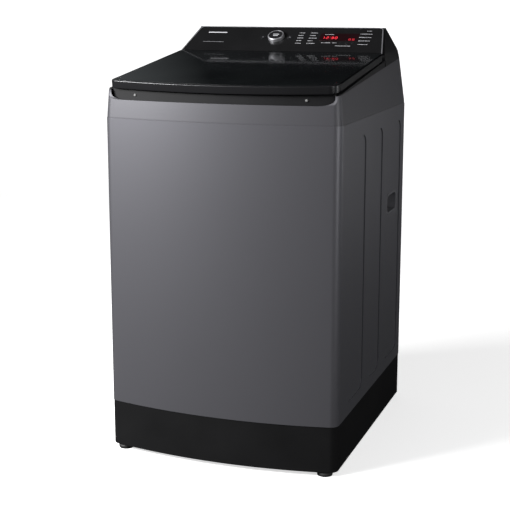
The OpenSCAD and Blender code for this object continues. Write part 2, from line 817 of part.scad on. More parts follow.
// ---- Pump and drain ----

pump_x = spigot_x;
pump_y = rear_y - 95;
pump_z = base_z + 26;
pump_r = 42;
pump_h = 56;
chamber_r = 32;
module pump_housing() {
    color(grey_plastic) translate([pump_x, pump_y, pump_z]) difference() {
        union() {
            cylinder(r = pump_r, h = pump_h, $fn = round_fn);
            translate([0, 0, pump_h - 1]) cylinder(r = 20, h = 8, $fn = round_fn);
            translate([-60, -60, -13]) cube([120, 120, 4]);
            translate([-20, -20, -10]) cube([40, 40, 12]);
            rotate([0, 0, 45]) translate([0, 0, 30]) rotate([0, 90, 0])
                cylinder(r = 17, h = 60, $fn = round_fn);
        }
        translate([0, 0, 18]) cylinder(r = chamber_r, h = pump_h - 24, $fn = round_fn);
        translate([0, 0, 17]) cylinder(r = pump_outlet_r, h = 60, $fn = round_fn);
        rotate([0, 0, 45]) translate([0, 0, 30]) rotate([0, 90, 0])
            cylinder(r = 13, h = 70, $fn = round_fn);
    }
}

pump_outlet_r = 12;
module pump_impeller() {
    color(white_plastic) translate([pump_x, pump_y, pump_z + 22]) {
        cylinder(r = 24, h = 3, $fn = round_fn);
        cylinder(r = 7, h = 20, $fn = round_fn);
        for (i = [0:5]) rotate([0, 0, i * 60]) translate([5, -1.2, 2]) cube([18, 2.4, 16]);
    }
}

// Pipe from the pump to the spigot in its round recess at the back
bend_r = 34;
pipe_r = spigot_r + 2;
pipe_z0 = pump_z + pump_h + 7.5;
module drain_pipe() {
    spigot_y0 = rear_face_y - sheet - 34;
    color(black) {
        difference() {
            translate([spigot_x, 0, 0]) {
                disc(0, pump_y, pipe_z0, spigot_z - bend_r, pipe_r);
                translate([0, pump_y + bend_r, spigot_z - bend_r]) rotate([90, 0, -90])
                    rotate_extrude(angle = 90, $fn = round_fn)
                        translate([bend_r, 0]) circle(r = pipe_r, $fn = round_fn);
                translate([0, pump_y + bend_r, spigot_z]) rotate([-90, 0, 0])
                    cylinder(r = pipe_r, h = spigot_y0 + 1 - pump_y - bend_r, $fn = round_fn);
                translate([0, spigot_y0, spigot_z]) rotate([-90, 0, 0])
                    cylinder(r = spigot_r, h = rear_y - 3 - spigot_y0, $fn = round_fn);
                translate([0, spigot_y0, spigot_z]) rotate([-90, 0, 0])
                    cylinder(r = spigot_cup_r, h = rear_face_y - spigot_y0, $fn = round_fn);
            }
            translate([spigot_x, 0, 0]) {
                difference() {
                    translate([0, spigot_y0 + 3, spigot_z]) rotate([-90, 0, 0])
                        cylinder(r = spigot_cup_r - 2.5, h = 60, $fn = round_fn);
                    translate([0, spigot_y0, spigot_z]) rotate([-90, 0, 0])
                        cylinder(r = spigot_r, h = 80, $fn = round_fn);
                }
                disc(0, pump_y, pipe_z0 - 1, spigot_z - bend_r, spigot_r - 3);
                translate([0, pump_y + bend_r, spigot_z - bend_r]) rotate([90, 0, -90])
                    rotate_extrude(angle = 90, $fn = round_fn)
                        translate([bend_r, 0]) circle(r = spigot_r - 3, $fn = round_fn);
                translate([0, pump_y + bend_r, spigot_z]) rotate([-90, 0, 0])
                    cylinder(r = spigot_r - 3, h = 200, $fn = round_fn);
            }
        }
    }
}

module cord_gland() {
    color(black) translate([gland_x, rear_face_y, gland_z]) rotate([-90, 0, 0])
        rotate_extrude($fn = round_fn) polygon([
            [cord_bore_r, -14], [gland_r + 3, -14], [gland_r + 3, -sheet - 0.1], [gland_r, -sheet - 0.1],
            [gland_r, 0.1], [gland_r + 2, 0.1], [gland_r + 2, 2], [gland_r - 2, 3.4], [cord_bore_r, 3.4]
        ]);
}

// ---- Top cover and deck ----

back_z0 = cabinet_z + 6;
function cover_inset(z) = cover_step + max(0, z - cabinet_z - 4) * tan(cover_draft);
function side_edge(y) = cabinet_z + cover_side_h + (y - corner_y) * tan(cover_slope);
function back_edge(z) = rear_y - (z - back_z0) * tan(back_lean);
cover_front_z = cabinet_z + cover_front_h;
envelope_z0 = cabinet_z + 4;
envelope_z1 = cabinet_z + 150;

// The leaning outer form of the whole top, shrunk by d
module top_form(d) {
    leaning(cover_inset(envelope_z0) + d, envelope_z0, cover_inset(envelope_z1) + d, envelope_z1);
    slab(cover_step + d, cabinet_z, envelope_z0 + tiny);
}

// The cover's edge drops from the sides to the front in a quarter ellipse
horn_y = corner_y - 5;
horn_run = 11;
horn_rise = side_edge(horn_y + horn_run) - cover_front_z;

// Side view of the grey cover, set back from the edges by g
module cover_profile(g, x0, x1) {
    profile_x([
        [front_y - 5, cabinet_z], [rear_y - g - cover_step / 2, cabinet_z],
        [rear_y - g - cover_step / 2, back_z0],
        [back_edge(side_edge(rear_y - 26)) - g, side_edge(rear_y - 26)],
        for (a = [90:-10:0]) [horn_y + horn_run * sin(a), cover_front_z + horn_rise * (1 - cos(a))],
        [front_y - 5, cover_front_z]
    ], x0, x1);
}

valve_x = 150;
valve_gap = 72;
valve_z = cabinet_z + 34;
valve_window_w = 146;
valve_window_h = 58;
module top_cover() {
    color(body_grey) difference() {
        intersection() {
            top_form(0);
            cover_profile(0, -half_w, half_w);
        }
        intersection() {
            union() {
                top_form(plastic);
                slab(cover_step + plastic, cabinet_z - 1, cabinet_z + 1);
            }
            profile_x([
                [front_y, cabinet_z - 2], [rear_y - plastic - 3, cabinet_z - 2],
                [rear_y - plastic - 3, back_z0], [back_edge(envelope_z1) - plastic, envelope_z1],
                [back_edge(envelope_z1) - plastic, envelope_z1 + 30], [front_y, envelope_z1 + 30]
            ], -half_w, half_w);
        }
        box(valve_x - valve_window_w / 2, valve_x + valve_window_w / 2, rear_y - 60, rear_y + 5,
            valve_z - valve_window_h / 2, valve_z + valve_window_h / 2);
    }
}

// Lid plane: heights of the lid's top and underside over a given y
lid_rear_y = -front_y - 210;
lid_rear_z = cabinet_z + lid_rear_h;
function lid_top(y) = lid_rear_z + (y - lid_rear_y) * tan(lid_slope);
function lid_under(y) = lid_top(y) - lid_t / cos(lid_slope);
lid_seat = 2;
deck_z = cabinet_z + 55;
deck_t = 3;
deck_in = cover_inset(envelope_z1) + plastic + 1.2;
deck_rear_y = lid_rear_y + 12;
mouth_y = lid_rear_y - 16 - mouth_r;
collar_z = cabinet_z - 6;

hinge_y = lid_rear_y - 9;
hinge_z = lid_rear_z - glass_t - 12.2;
hinge_sweep = 20.2;
ear_x = lid_hw - 32;
ear_r = pin_r + 2.5;
ear_gap = 0.8;
ear_thick = 9;
lock_x = 60;
lock_y = front_y + 48;
slot_w = 12;
slot_front = 14.5;
slot_rear = 10.5;

module top_frame() {
    color(black) difference() {
        union() {
            intersection() {
                slab(deck_in, deck_z, deck_z + deck_t);
                box(-half_w, half_w, front_y, deck_rear_y, deck_z - 1, deck_z + 9);
            }
            difference() {
                deck_surround();
                profile_x([for (a = [7.5:15:359]) [hinge_y + hinge_sweep * cos(a),
                    hinge_z + hinge_sweep * sin(a)]], -lid_hw - 0.6, lid_hw + 0.6);
            }
            disc(0, mouth_y, collar_z, deck_z + 1, mouth_r + plastic);
            both_sides() hinge_ear();
        }
        disc(0, mouth_y, collar_z - 1, deck_z + 12, mouth_r);
        both_sides() translate([ear_x - 1, hinge_y, hinge_z]) rotate([0, 90, 0])
            cylinder(r = pin_r + 0.05, h = ear_thick + 3, $fn = round_fn);
        box(lock_x - slot_w / 2, lock_x + slot_w / 2, lock_y - slot_front, lock_y + slot_rear,
            deck_z - 1, deck_z + 5);
        box(-drawer_w / 2 - 3, drawer_w / 2 + 3, mouth_y, deck_rear_y - 10, drawer_z - 2,
            drawer_z + drawer_h + 2);
    }
}

// The raised wall around the deck, with the black wedges outside it
module deck_surround() {
    intersection() {
        plan_ring(deck_in, deck_in + plastic + 1, deck_z - 14, envelope_z1);
        under_lid();
    }
    intersection() {
        difference() {
            top_form(0.1);
            slab(deck_in + plastic, cabinet_z, envelope_z1 + 5);
        }
        side_wedge();
    }
}

// Everything lower than the closed lid and ahead of the console
module under_lid() {
    profile_x([
        [front_y - 5, deck_z - 20], [deck_rear_y, deck_z - 20],
        [deck_rear_y, lid_under(deck_rear_y) - lid_seat], [front_y - 5, lid_under(front_y - 5) - lid_seat]
    ], -half_w, half_w);
}

// The black wedge between the cover's side edge and the lid
wedge_gap = 0.4;
module side_wedge() {
    profile_x([
        [corner_y + 16, side_edge(corner_y + 16) + wedge_gap],
        [deck_rear_y, side_edge(deck_rear_y) + wedge_gap],
        [deck_rear_y, lid_under(deck_rear_y) - lid_seat],
        [corner_y + 16, max(lid_under(corner_y + 16) - lid_seat, side_edge(corner_y + 16) + 1)]
    ], -half_w, half_w);
}

module hinge_ear() {
    box(ear_x, ear_x + ear_thick, hinge_y - ear_r - 1, hinge_y + 4, deck_z + 1, hinge_z);
    translate([ear_x, hinge_y, hinge_z]) rotate([0, 90, 0])
        cylinder(r = ear_r, h = ear_thick, $fn = round_fn);
}

bumper_x = 220;
bumper_r = 3.2;
bumper_z = (cover_front_z + lid_under(front_y + deck_in) - lid_seat) / 2 + 1;
module lid_bumpers() {
    face_r = bow_r - deck_in;
    color(grey_plastic) for (s = [-1, 1])
        translate([0, front_y + bow_r, bumper_z]) rotate([0, 0, s * asin(bumper_x / face_r)])
            translate([0, -face_r - 0.05, 0]) rotate([90, 0, 0]) rotate_extrude($fn = 32)
                polygon([[0, 0], [bumper_r, 0], [bumper_r, 1.6], [bumper_r - 1, 2.6], [0, 2.6]]);
}

module lid_lock_housing() {
    color(white_plastic) difference() {
        box(lock_x - 16, lock_x + 62, lock_y - slot_front - 2, lock_y + slot_rear + 4,
            deck_z - 26, deck_z - 0.1);
        box(lock_x - slot_w / 2, lock_x + slot_w / 2, lock_y - slot_front, lock_y + slot_rear,
            deck_z - 22, deck_z + 1);
        box(lock_x + slot_w / 2 - 1, lock_x + 54, lock_y - 4.5, lock_y + 4.5, bolt_z - 3.5, bolt_z + 3.5);
    }
}

bolt_z = deck_z - 9;
bolt_x = lock_x + slot_w / 2 + 14;
module lock_bolt() {
    color(grey_plastic) {
        box(bolt_x, bolt_x + 20, lock_y - 4, lock_y + 4, bolt_z - 3, bolt_z + 3);
        box(lock_x + 4, bolt_x + 1, lock_y - 2.5, lock_y + 2.5, bolt_z - 2, bolt_z + 2);
    }
}

// ---- Detergent drawer ----

drawer_w = 140;
drawer_len = 170;
drawer_h = 42;
drawer_z = cabinet_z + 8;
drawer_y0 = lid_rear_y - 34;
drawer_wall = 2;
drawer_gap = 1.5;
housing_y0 = lid_rear_y - 9;
module detergent_drawer() {
    color(grey_plastic) difference() {
        box(-drawer_w / 2, drawer_w / 2, drawer_y0, drawer_y0 + drawer_len, drawer_z, drawer_z + drawer_h);
        box(-drawer_w / 2 + drawer_wall, 18, drawer_y0 + 8, drawer_y0 + drawer_len - drawer_wall,
            drawer_z + drawer_wall, drawer_z + drawer_h + 1);
        box(18 + drawer_wall, drawer_w / 2 - drawer_wall, drawer_y0 + 8,
            drawer_y0 + drawer_len - drawer_wall, drawer_z + drawer_wall, drawer_z + drawer_h + 1);
        translate([0, drawer_y0 - 4, drawer_z + 8]) rotate([0, 90, 0])
            cylinder(r = 9, h = 70, center = true, $fn = 48);
    }
}

module drawer_housing() {
    w = drawer_w / 2 + drawer_gap;
    z0 = drawer_z - drawer_gap;
    z1 = drawer_z + drawer_h + drawer_gap;
    color(grey_plastic) difference() {
        box(-w - 2, w + 2, housing_y0, drawer_y0 + drawer_len + 8, z0 - 2, z1 + 2);
        box(-w, w, housing_y0 - 1, drawer_y0 + drawer_len + 5, z0, z1);
    }
}

// ---- Water and sensing ----

module inlet_valves() {
    plate_y = back_edge(valve_z) - 22;
    color(white_plastic) {
        box(valve_x - valve_window_w / 2 - 8, valve_x + valve_window_w / 2 + 8, plate_y - 3, plate_y,
            valve_z - valve_window_h / 2 - 6, valve_z + valve_window_h / 2 + 6);
        for (s = [-1, 1]) translate([valve_x + s * valve_gap / 2, plate_y, valve_z]) {
            difference() {
                rotate([-90, 0, 0]) translate([0, 0, -3]) cylinder(r = inlet_r, h = 23, $fn = round_fn);
                rotate([-90, 0, 0]) translate([0, 0, 3]) cylinder(r = 9, h = 30, $fn = round_fn);
            }
            translate([-16, -52, -17]) cube([32, 50, 34]);
            rotate([90, 0, 0]) translate([0, 0, 40]) cylinder(r = 9, h = 30, $fn = round_fn);
        }
    }
}

module pressure_sensor() {
    color(white_plastic) translate([-170, lid_rear_y + 60, cabinet_z + 20]) {
        cylinder(r = 24, h = 16, $fn = round_fn);
        translate([0, 0, -10]) cylinder(r = 4, h = 12, $fn = round_fn);
        translate([-9, -9, 15]) cube([18, 18, 10]);
    }
}

// ---- Console ----

panel_y = lid_rear_y + 7;
panel_z = lid_rear_z + 1;
panel_hw = lid_hw - 5;
panel_r = 10;
panel_seat = 0.2;
console_front_y = lid_rear_y + 18;

// Places a child on the control panel: x across, y up the slope
module on_panel() {
    translate([0, panel_y, panel_z]) rotate([panel_tilt, 0, 0]) children();
}

// Outline of the panel grown by d, with its two top corners rounded
function panel_outline(d) =
    let (top = panel_hw - panel_taper, r = panel_r + d, steps = 6)
    concat([[-panel_hw - d, 0], [panel_hw + d, 0]],
        [for (i = [0:steps]) let (a = 10 + 80 * i / steps)
            [top + d - r + r * cos(a), panel_len + d - r + r * sin(a)]],
        [for (i = [0:steps]) let (a = 90 + 80 * i / steps)
            [-top - d + r + r * cos(a), panel_len + d - r + r * sin(a)]]);

dial_x = -27;
dial_u = 66;
power_x = -66;
start_x = 12;
display_x = 152;
display_u = 70;
option_u = 43;
option_xs = [162, 179, 196];
key_gap = 0.4;

module control_panel() {
    color(glass_black) on_panel() difference() {
        translate([0, 0, -panel_t]) linear_extrude(panel_t) polygon(panel_outline(0));
        disc(dial_x, dial_u, -20, 20, dial_r + 0.6);
        for (x = [power_x, start_x]) disc(x, dial_u, -20, 20, key_r + key_gap);
        for (x = option_xs) disc(x, option_u, -20, 20, option_r + key_gap);
        translate([display_x, display_u, -1.5]) linear_extrude(9)
            polygon(round_rect(display_w + 0.4, display_h + 0.4, 4));
        translate([display_x, display_u, -9]) linear_extrude(12)
            polygon(round_rect(display_w - 6, display_h - 6, 3));
    }
}

module display_window() {
    color([0.05, 0.02, 0.02]) on_panel() translate([display_x, display_u, -1.4])
        linear_extrude(1.4) polygon(round_rect(display_w, display_h, 3.8));
}

trim_w = 2.4;
module console_trim() {
    color(silver) on_panel() difference() {
        translate([0, 0, -panel_t]) linear_extrude(panel_t + 0.6) polygon(panel_outline(trim_w));
        translate([0, 0, -panel_t - 1]) linear_extrude(panel_t + 5) polygon(panel_outline(0));
        translate([-400, -5, -10]) cube([800, 5 + tiny, 20]);
    }
}

module console_form(d) {
    lip = panel_t + panel_seat + d;
    top_z = panel_z + (panel_len + trim_w) * sin(panel_tilt);
    top_y = panel_y + (panel_len + trim_w) * cos(panel_tilt);
    low_z = side_edge(console_front_y) + wedge_gap;
    back_z = side_edge(rear_y - 26);
    intersection() {
        profile_x([
            [console_front_y + d, d > 0 ? low_z - 20 : low_z],
            [console_front_y + d, panel_z - 8 - d / 2],
            [panel_y + 2 + lip * sin(panel_tilt) + d, panel_z - lip * cos(panel_tilt)],
            [top_y + lip * sin(panel_tilt), top_z - lip * cos(panel_tilt)],
            [top_y + 3, top_z - d * 1.2], [rear_y - 47 - d / 2, top_z - 55 - d],
            [back_edge(back_z) - d, back_z + wedge_gap],
            [back_edge(back_z) - d, back_z + wedge_gap - (d > 0 ? 20 : 0.05)]
        ], -half_w, half_w);
        console_width(d);
    }
}

module console_width(d) {
    top = panel_hw - panel_taper + trim_w + 1.5;
    low = half_w - cover_inset(cabinet_z + 100);
    mid = half_w - cover_inset(lid_rear_z);
    profile_y([
        [-low + d, cabinet_z + 60], [low - d, cabinet_z + 60], [low - d, cabinet_z + 100],
        [mid - d, lid_rear_z], [top - d, lid_rear_z + 68], [-top + d, lid_rear_z + 68],
        [-mid + d, lid_rear_z], [-low + d, cabinet_z + 100]
    ], front_y, rear_y + 5);
}

// The board reaches the panel through a window in the housing
module console_housing() {
    color(black) difference() {
        console_form(0);
        console_form(plastic);
        on_panel() translate([board_x, board_u, -panel_t - 16]) linear_extrude(16)
            polygon(round_rect(board_w + 6, board_l + 6, 4));
    }
}

board_x = 60;
board_u = 66;
board_w = 330;
board_l = 84;
board_drop = 17;
module control_board() {
    color(board_green) on_panel() {
        difference() {
            translate([board_x, board_u, -panel_t - board_drop]) linear_extrude(1.6)
                polygon(round_rect(board_w, board_l, 3));
            disc(dial_x, dial_u, -40, 0, 4);
        }
        for (x = [board_x - board_w / 2 + 9, board_x + board_w / 2 - 9], u = [board_u - 36, board_u + 36])
            disc(x, u, -panel_t - board_drop + 1.6, -panel_t, 3.5);
        translate([-95, board_u - 30, -panel_t - board_drop - 14]) cube([52, 46, 14]);
        translate([100, board_u - 30, -panel_t - board_drop - 10]) cube([46, 30, 10]);
    }
}

// Parts that stand in the panel: dial, ring and keys
dial_floor = panel_t + 5;
module program_dial() {
    color(black) on_panel() {
        disc(dial_x, dial_u, -dial_floor, dial_h - 1, dial_r - 3);
        disc(dial_x, dial_u, -panel_t - board_drop - 3, -dial_floor, 3);
    }
}

module dial_ring() {
    color(silver) on_panel() translate([dial_x, dial_u, 0]) rotate_extrude($fn = round_fn)
        polygon([[dial_r - 3, -2], [dial_r, -2], [dial_r, dial_h - 1.5], [dial_r - 1.5, dial_h],
            [dial_r - 3, dial_h]]);
}

module key(x, u, r) {
    color(black) on_panel() {
        disc(x, u, -panel_t - 2, 0.8, r);
        disc(x, u, -panel_t - 4, -panel_t - 2, r + 1.6);
    }
}

module power_key() { key(power_x, dial_u, key_r); }
module start_key() { key(start_x, dial_u, key_r); }
module option_key(i) { key(option_xs[i], option_u, option_r); }

// ---- Lid ----

module on_lid() {
    translate([0, lid_rear_y, lid_rear_z]) rotate([lid_slope, 0, 0]) children();
}

function lid_outline(d, rear = 0) = outline(lid_hw - d, -lid_len + d, -rear, bow_r - d,
    max(lid_corner_r - d, 3), 4);
frame_w = 46;
grip_zone = 70;

module lid_layer(d, z0, z1) {
    translate([0, 0, z0]) linear_extrude(z1 - z0) polygon(lid_outline(d));
}

// The curved front zone that the trim bar takes
module grip_space(d) {
    difference() {
        translate([-lid_hw - 1, -lid_len - 1, -lid_t - 1]) cube([2 * lid_hw + 2, grip_zone + d, lid_t + 2]);
        translate([0, 0, -lid_t - 2]) linear_extrude(lid_t + 4) polygon(lid_outline(grip_d + d));
    }
}

module lid_grip() {
    color(grey_plastic) on_lid() difference() {
        intersection() {
            lid_layer(0, -lid_t, -0.2);
            grip_space(0);
        }
        translate([0, -lid_len - 25, -lid_t - 26]) rotate([0, 90, 0])
            cylinder(r = 34, h = 240, center = true, $fn = round_fn);
    }
}

window = [2 * lid_hw - 2 * frame_w, lid_len - 2 * frame_w - 40];
window_y = -lid_len / 2 + 4;
module lid_frame() {
    color(black) {
        on_lid() difference() {
            lid_layer(0, -lid_t, -glass_t - 0.2);
            grip_space(0.1);
            translate([0, window_y, -lid_t - 1]) linear_extrude(lid_t)
                polygon(round_rect(window[0], window[1], 40));
            translate([0, 0, -lid_t - 1]) linear_extrude(lid_t - glass_t - 3) difference() {
                polygon(lid_outline(grip_d + 4, 4));
                translate([0, window_y]) polygon(round_rect(window[0] + 8, window[1] + 8, 44));
            }
            both_sides() translate([ear_x - 1, -hinge_sweep / 2, -lid_t - 1])
                cube([ear_thick + 2, hinge_sweep, lid_t - glass_t - 3]);
        }
        both_sides() lid_lug();
    }
}

module lid_lug() {
    difference() {
        union() {
            translate([ear_x - ear_gap - 11, hinge_y, hinge_z]) rotate([0, 90, 0])
                cylinder(r = ear_r, h = 11, $fn = round_fn);
            box(ear_x - ear_gap - 11, ear_x - ear_gap, hinge_y - ear_r, hinge_y + ear_r, hinge_z,
                lid_top(hinge_y - ear_r) - glass_t - 2.5);
        }
        translate([ear_x - 20, hinge_y, hinge_z]) rotate([0, 90, 0])
            cylinder(r = pin_r, h = 30, $fn = round_fn);
    }
}

module lid_glass() {
    color(glass_black) on_lid() difference() {
        lid_layer(1.5, -glass_t - 0.2, -0.2);
        grip_space(0.1);
    }
}

module hinge_pins() {
    color(steel) both_sides() translate([ear_x - ear_gap - 13, hinge_y, hinge_z]) rotate([0, 90, 0])
        cylinder(r = pin_r, h = ear_thick + ear_gap + 14, $fn = round_fn);
}

tongue_drop = 18;
tongue_t = 4.4;
tongue_w = 16;
module lid_striker() {
    color(white_plastic) difference() {
        box(lock_x - tongue_t / 2, lock_x + tongue_t / 2, lock_y - tongue_w / 2, lock_y + tongue_w / 2,
            deck_z - tongue_drop, lid_top(lock_y + tongue_w / 2));
        on_lid() translate([lock_x - 20, -lid_len, -glass_t - 4 - tiny]) cube([40, lid_len, 60]);
        box(lock_x - 9, lock_x + 9, lock_y - 5, lock_y + 5, bolt_z - 3.5, bolt_z + 3.5);
    }
}

cabinet_wrap();
rear_panel();
base_skirt();
bottom_guard();
corner_gussets();
top_cover();
top_frame();
console_housing();
control_panel();
console_trim();
display_window();
control_board();
lid_lock_housing();
lid_bumpers();
drawer_housing();
inlet_valves();
pressure_sensor();
cord_gland();
pump_housing();
drain_pipe();
suspension_rods();
suspension_springs();
case_screws();
handle_pockets();
lid_frame();
lid_glass();
lid_grip();
hinge_pins();
lid_striker();
lock_bolt();
program_dial();
dial_ring();
power_key();
start_key();
option_key(0);  // option_key_1
option_key(1);  // option_key_2
option_key(2);  // option_key_3
detergent_drawer();
outer_tub();
tub_cover();
spring_cups();
drive_housing();
bearings();
shaft_seal();
stator();
basket();
balance_ring();
basket_hub();
spin_tube();
clutch_coupler();
lint_filter();
pulsator();
pulsator_screw();
wash_shaft();
rotor();
pump_impeller();
foot(foot_places[0]);  // foot_front_left
foot(foot_places[1]);  // foot_front_right
foot(foot_places[2]);  // foot_rear_left
foot(foot_places[3]);  // foot_rear_right
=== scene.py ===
"""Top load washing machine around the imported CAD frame. Metres, +Z up, front towards -Y."""
import json
import math
import random

import bmesh
import bpy
from mathutils import Matrix, Vector


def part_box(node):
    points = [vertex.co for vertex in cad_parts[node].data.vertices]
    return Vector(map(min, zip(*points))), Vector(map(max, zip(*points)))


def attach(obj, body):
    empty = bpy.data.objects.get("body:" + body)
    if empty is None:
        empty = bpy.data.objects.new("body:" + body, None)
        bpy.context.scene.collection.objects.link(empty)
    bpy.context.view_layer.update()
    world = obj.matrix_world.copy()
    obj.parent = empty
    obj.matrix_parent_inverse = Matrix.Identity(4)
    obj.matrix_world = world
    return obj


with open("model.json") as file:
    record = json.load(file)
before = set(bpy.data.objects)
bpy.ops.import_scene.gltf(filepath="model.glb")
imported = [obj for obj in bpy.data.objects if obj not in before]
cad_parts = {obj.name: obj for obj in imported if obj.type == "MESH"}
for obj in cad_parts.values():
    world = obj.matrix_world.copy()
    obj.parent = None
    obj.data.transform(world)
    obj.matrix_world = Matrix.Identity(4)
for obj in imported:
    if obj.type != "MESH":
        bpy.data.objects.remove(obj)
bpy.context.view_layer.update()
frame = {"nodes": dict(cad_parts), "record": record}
random.seed(7)

MM = 0.001
record = frame["record"]
slot_of = {s["node"]: s["material_slot"] for s in record["subparts"]}


# ---- Material helpers ----

def new_material(name):
    mat = bpy.data.materials.new(name)
    mat.use_nodes = True
    tree = mat.node_tree
    return mat, tree, tree.nodes["Principled BSDF"]


def add(tree, kind, **values):
    node = tree.nodes.new(kind)
    for key, value in values.items():
        if key in node.inputs.keys():
            node.inputs[key].default_value = value
        else:
            setattr(node, key, value)
    return node


def object_coords(tree, scale=(1, 1, 1)):
    coords = add(tree, "ShaderNodeTexCoord")
    mapping = add(tree, "ShaderNodeMapping", Scale=scale)
    tree.links.new(coords.outputs["Object"], mapping.inputs["Vector"])
    return mapping.outputs["Vector"]


def noise(tree, coords, scale, detail=3.0, rough=0.5):
    node = add(tree, "ShaderNodeTexNoise", Scale=scale, Detail=detail, Roughness=rough)
    tree.links.new(coords, node.inputs["Vector"])
    return node.outputs["Fac"]


def ramp(tree, factor, low, high, start=0.3, end=0.7):
    node = add(tree, "ShaderNodeValToRGB")
    node.color_ramp.elements[0].position = start
    node.color_ramp.elements[1].position = end
    node.color_ramp.elements[0].color = (*low, 1)
    node.color_ramp.elements[1].color = (*high, 1)
    tree.links.new(factor, node.inputs["Fac"])
    return node.outputs["Color"]


def spread(tree, factor, low, high):
    node = add(tree, "ShaderNodeMapRange")
    node.inputs["From Min"].default_value = 0.25
    node.inputs["From Max"].default_value = 0.75
    node.inputs["To Min"].default_value = low
    node.inputs["To Max"].default_value = high
    tree.links.new(factor, node.inputs["Value"])
    return node.outputs["Result"]


def bump(tree, shader, height, distance, strength=1.0):
    node = add(tree, "ShaderNodeBump", Strength=strength, Distance=distance)
    tree.links.new(height, node.inputs["Height"])
    tree.links.new(node.outputs["Normal"], shader.inputs["Normal"])


def surface(name, color, rough, metallic=0.0, vary=0.08, vary_scale=9.0, rough_vary=0.05,
            grain_scale=900.0, grain=0.00002, stretch=(1, 1, 1), coat=0.0, coat_rough=0.05,
            specular=0.5):
    """A procedural surface: colour variation, uneven gloss and a fine grain in the normal."""
    mat, tree, shader = new_material(name)
    coords = object_coords(tree, stretch)
    broad = noise(tree, coords, vary_scale, 4.0)
    low = tuple(c * (1 - vary) for c in color)
    high = tuple(min(1.0, c * (1 + vary)) for c in color)
    tree.links.new(ramp(tree, broad, low, high), shader.inputs["Base Color"])
    fine = noise(tree, coords, grain_scale, 2.0)
    tree.links.new(spread(tree, fine, max(0.02, rough - rough_vary), rough + rough_vary),
                   shader.inputs["Roughness"])
    bump(tree, shader, fine, grain)
    shader.inputs["Metallic"].default_value = metallic
    shader.inputs["Coat Weight"].default_value = coat
    shader.inputs["Coat Roughness"].default_value = coat_rough
    shader.inputs["Specular IOR Level"].default_value = specular
    return mat


# Emission: lamp light on the display digits, a painted glow on the printed labels and marks.
def glowing(name, color, strength):
    mat, tree, shader = new_material(name)
    shader.inputs["Base Color"].default_value = (*color, 1)
    shader.inputs["Emission Color"].default_value = (*color, 1)
    shader.inputs["Emission Strength"].default_value = strength
    shader.inputs["Roughness"].default_value = 0.5
    return mat


def tinted_glass(name):
    """Dark toughened glass: it lets through only a little light."""
    mat, tree, shader = new_material(name)
    coords = object_coords(tree)
    haze = noise(tree, coords, 5.0, 3.0)
    tree.links.new(ramp(tree, haze, (0.008, 0.009, 0.010), (0.014, 0.016, 0.017)),
                   shader.inputs["Base Color"])
    smear = noise(tree, coords, 14.0, 5.0)
    tree.links.new(spread(tree, smear, 0.05, 0.11), shader.inputs["Roughness"])
    shader.inputs["Transmission Weight"].default_value = 0.35
    shader.inputs["IOR"].default_value = 1.5
    return mat


def maths(tree, operation, first, second=None):
    """One step of arithmetic; each operand is a number or a socket."""
    node = tree.nodes.new("ShaderNodeMath")
    node.operation = operation
    for i, value in enumerate((first, second)):
        if value is None:
            continue
        if isinstance(value, (int, float)):
            node.inputs[i].default_value = value
        else:
            tree.links.new(value, node.inputs[i])
    return node.outputs[0]


def perforated_steel(name):
    """Drum steel with rows of small holes around its wall, painted as near-black dots: painted
    shade inside each hole.
    """
    mat = surface(name, (0.55, 0.56, 0.58), 0.24, metallic=1.0, vary=0.04, stretch=(1, 1, 14),
                  rough_vary=0.07, grain_scale=160, grain=0.00001)
    tree = mat.node_tree
    shader = tree.nodes["Principled BSDF"]
    coords = add(tree, "ShaderNodeTexCoord")
    parts = tree.nodes.new("ShaderNodeSeparateXYZ")
    tree.links.new(coords.outputs["Object"], parts.inputs[0])
    x, z = parts.outputs[0], parts.outputs[2]
    y = maths(tree, "SUBTRACT", parts.outputs[1], DRUM_Y)
    turn = maths(tree, "MULTIPLY", maths(tree, "ARCTAN2", y, x), HOLES_AROUND / (2 * math.pi))
    rise = maths(tree, "MULTIPLY", z, HOLE_ROWS_PER_METRE)
    stagger = maths(tree, "MULTIPLY", maths(tree, "MODULO", maths(tree, "FLOOR", rise), 2.0), 0.5)
    du = maths(tree, "SUBTRACT", maths(tree, "FRACT", maths(tree, "ADD", turn, stagger)), 0.5)
    dv = maths(tree, "SUBTRACT", maths(tree, "FRACT", rise), 0.5)
    away = maths(tree, "SQRT", maths(tree, "ADD", maths(tree, "MULTIPLY", du, du),
                                     maths(tree, "MULTIPLY", dv, dv)))
    radius = maths(tree, "SQRT", maths(tree, "ADD", maths(tree, "MULTIPLY", x, x),
                                       maths(tree, "MULTIPLY", y, y)))
    on_wall = maths(tree, "GREATER_THAN", radius, DRUM_WALL_R)
    in_band = maths(tree, "MULTIPLY", maths(tree, "GREATER_THAN", z, HOLES_LOW),
                    maths(tree, "LESS_THAN", z, HOLES_HIGH))
    hole_shade_mask = maths(tree, "MULTIPLY", maths(tree, "LESS_THAN", away, HOLE_SHARE),
                 maths(tree, "MULTIPLY", on_wall, in_band))
    mix = tree.nodes.new("ShaderNodeMix")
    mix.data_type = "RGBA"
    base = shader.inputs["Base Color"].links[0].from_socket
    tree.links.new(hole_shade_mask, mix.inputs[0])
    tree.links.new(base, mix.inputs[6])
    # Painted shade: near black where each hole is, standing in for the dark inside it.
    mix.inputs[7].default_value = (0.01, 0.01, 0.01, 1)
    tree.links.new(mix.outputs[2], shader.inputs["Base Color"])
    return mat


